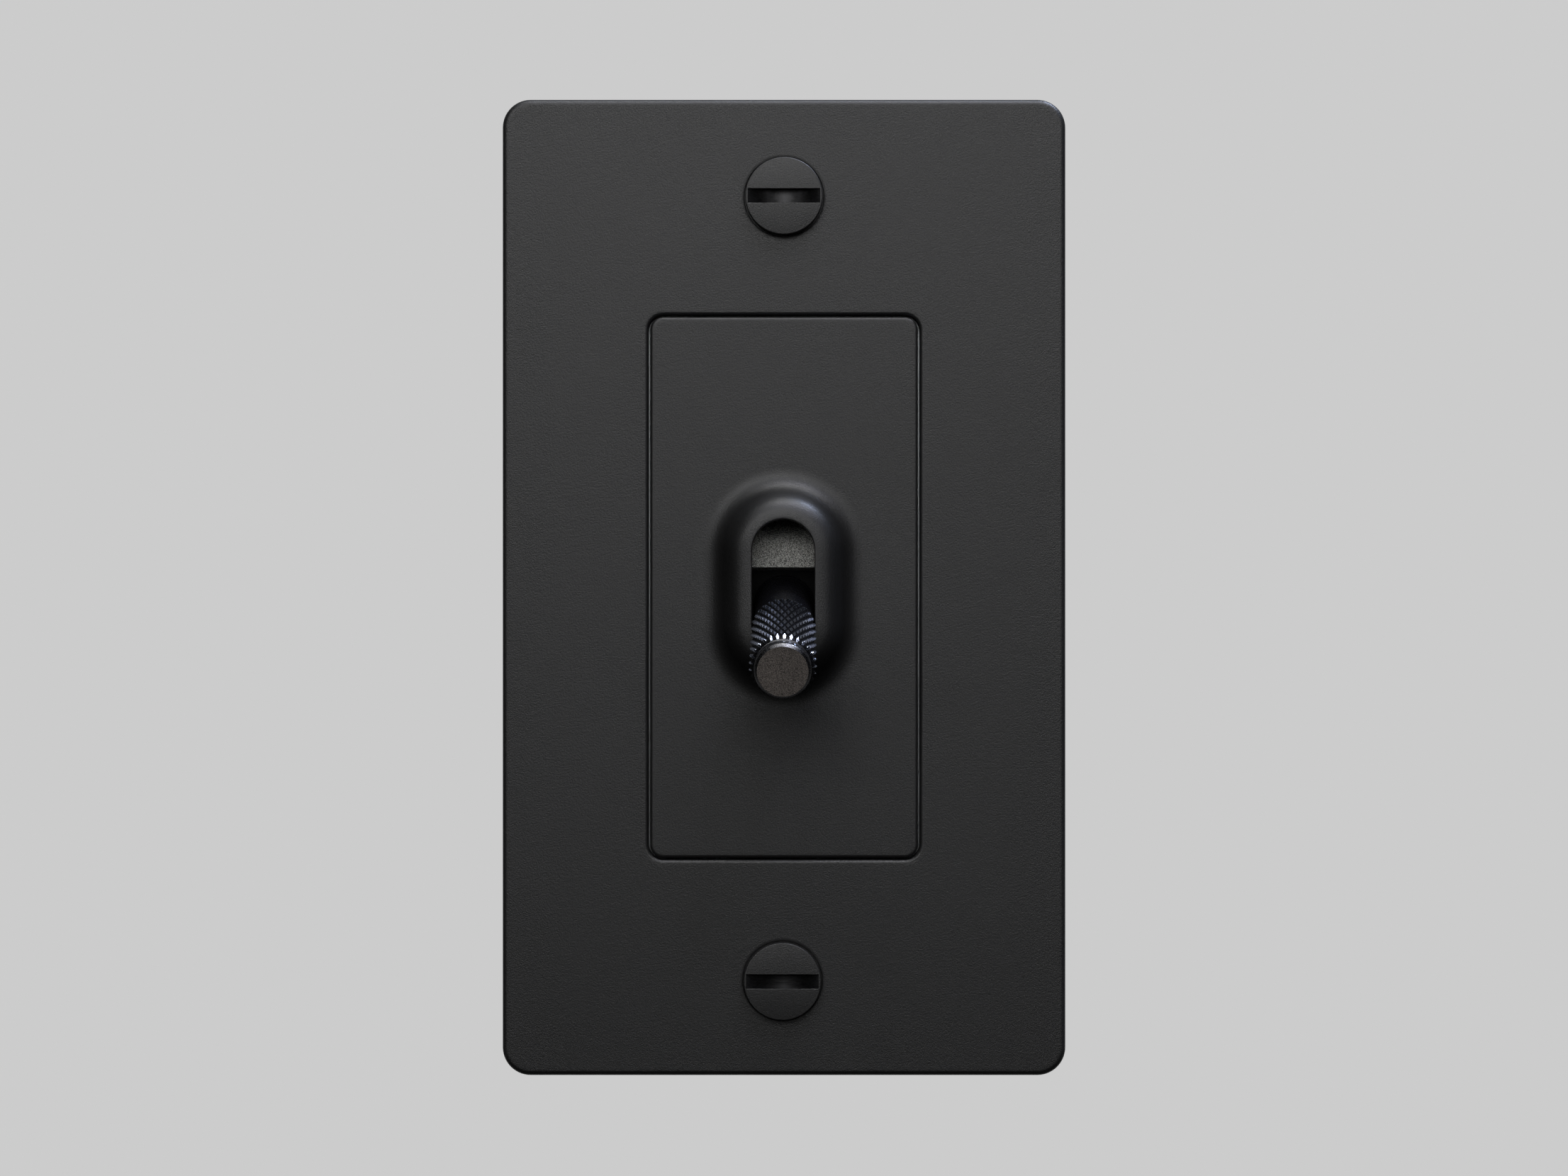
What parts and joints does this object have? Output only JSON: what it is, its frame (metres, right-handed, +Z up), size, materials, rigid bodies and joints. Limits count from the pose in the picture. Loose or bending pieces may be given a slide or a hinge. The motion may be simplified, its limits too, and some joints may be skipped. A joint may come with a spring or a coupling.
{
  "type": "toggle light switch with wall plate",
  "caption": "Black wall switch: flat wall plate with coin-slot screws, fascia with an oblong collar, and a knurled toggle lever that tips up and down.",
  "frame": {"origin": "centre of the plate's back rim on the wall plane, midway between the two box screws", "axes": "+Z up along the plate's height, +X to the right seen from the room, -Y out of the wall towards the user, +Y into the wall"},
  "size_m": [0.0694, 0.0583, 0.1204],
  "materials": {
    "plate_coat": "matte powder coat",
    "screw_coat": "satin, brushed face",
    "fascia_coat": "matte powder coat",
    "grip_metal": "satin, diamond knurled",
    "lever_metal": "satin",
    "cap_metal": "satin, fine grained end",
    "drum_plastic": "spark-textured",
    "pin_steel": "ground",
    "plunger_nylon": "satin",
    "spring_steel": "drawn wire",
    "blade_copper": "rolled",
    "contact_silver": "satin",
    "terminal_brass": "rolled",
    "common_dark": "blackened",
    "clamp_zinc": "zinc plated",
    "housing_plastic": "moulded, fine texture",
    "bumper_rubber": "matte",
    "insulator_fibre": "vulcanised fibre",
    "strap_zinc": "zinc plated",
    "fastener_zinc": "zinc plated",
    "washer_fibre": "vulcanised fibre",
    "ground_green": "dyed green"
  },
  "bodies": {
    "root": {"wall_plate": "plate_coat", "coin_screws": "screw_coat", "fascia": "fascia_coat", "pivot_pin": "pin_steel", "common_terminal": "terminal_brass", "upper_traveller_terminal": "terminal_brass", "lower_traveller_terminal": "terminal_brass", "fixed_contacts": "contact_silver", "traveller_screws": "terminal_brass", "common_screw": "common_dark", "clamp_plates": "clamp_zinc", "front_housing": "housing_plastic", "rear_housing": "housing_plastic", "stop_bumpers": "bumper_rubber", "strap_insulator": "insulator_fibre", "mounting_strap": "strap_zinc", "assembly_screws": "fastener_zinc", "box_screws": "fastener_zinc", "retaining_washers": "washer_fibre", "ground_clip": "strap_zinc", "ground_rivet": "fastener_zinc", "ground_screw": "ground_green"},
    "lever": {"lever_grip": "grip_metal", "lever_shank": "lever_metal", "lever_end_cap": "cap_metal", "lever_lock_ring": "lever_metal", "toggle_drum": "drum_plastic", "plunger_spring": "spring_steel"},
    "plunger": {"drive_plunger": "plunger_nylon"},
    "blade": {"contact_blade": "blade_copper", "moving_contacts": "contact_silver"}
  },
  "joints": [
    {"name": "lever_tip", "type": "hinge", "parent": "root", "child": "lever", "pos_m": [0, 0.0075, 0], "axis": [-1, 0, 0], "range_deg": [0, 29]},
    {"name": "plunger_slide", "type": "slide", "parent": "lever", "child": "plunger", "axis": [0, 0.9681, 0.2504], "range_m": [0, 0.00075], "stiffness_N_per_m": 150, "springref_m": 0.0035, "deforming": ["plunger_spring"]},
    {"name": "blade_rock", "type": "hinge", "parent": "root", "child": "blade", "pos_m": [0, 0.0207, 0], "axis": [-1, 0, 0], "range_deg": [-14, 0]}
  ],
  "couplings": [
    {"joint": "blade_rock", "follows": "lever_tip", "ratio": -0.48276}
  ]
}
